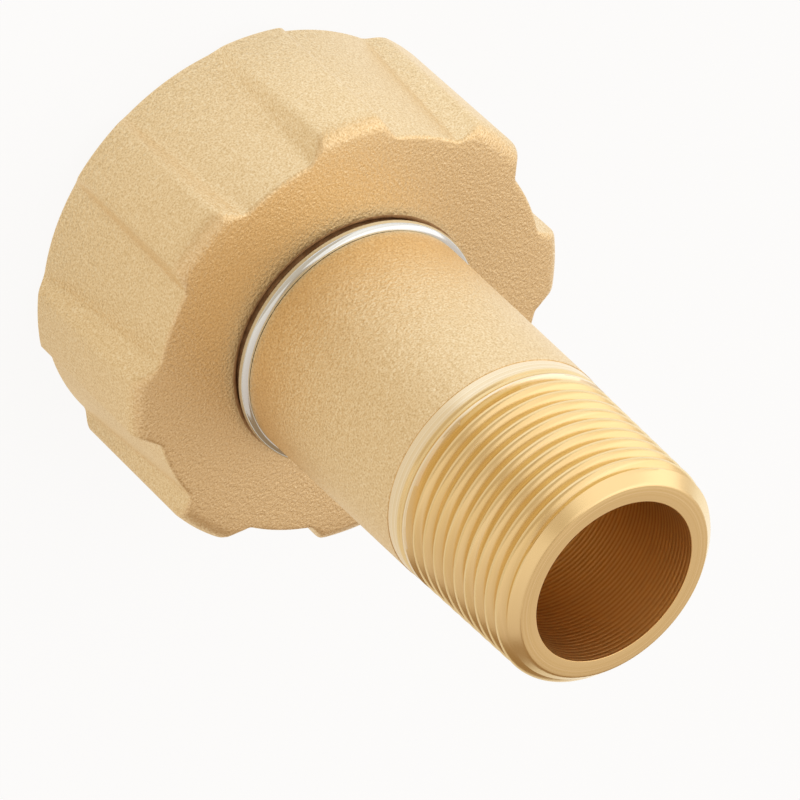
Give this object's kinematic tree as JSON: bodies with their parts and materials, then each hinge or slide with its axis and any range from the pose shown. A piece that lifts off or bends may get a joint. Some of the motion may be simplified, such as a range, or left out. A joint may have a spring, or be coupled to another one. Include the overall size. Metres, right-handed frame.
{
  "type": "fill coupling",
  "caption": "Brass fill coupling: a lugged swivel nut with an internal trapezoidal thread, held by a wire ring on a straight nipple that ends in a tapered pipe thread.",
  "frame": {"origin": "on the coupling's axis, in the plane of the nut's mouth on which it stands", "axes": "+Z along the axis, from the nut's mouth to the pipe end; +Y towards the wire ring's split"},
  "size_m": [0.0552, 0.0552, 0.073],
  "materials": {
    "cast_brass": "cast and blasted, satin",
    "turned_brass": "cast neck, bright turned threads",
    "ring_wire": "bright drawn wire"
  },
  "bodies": {
    "nipple": {"nipple": "turned_brass", "retaining_ring": "ring_wire"},
    "nut": {"coupling_nut": "cast_brass"}
  },
  "joints": [
    {"name": "nut_swivel", "type": "hinge", "parent": "nipple", "child": "nut", "pos_m": [0, 0, 0.0212], "axis": [0, 0, 1], "continuous": true}
  ]
}
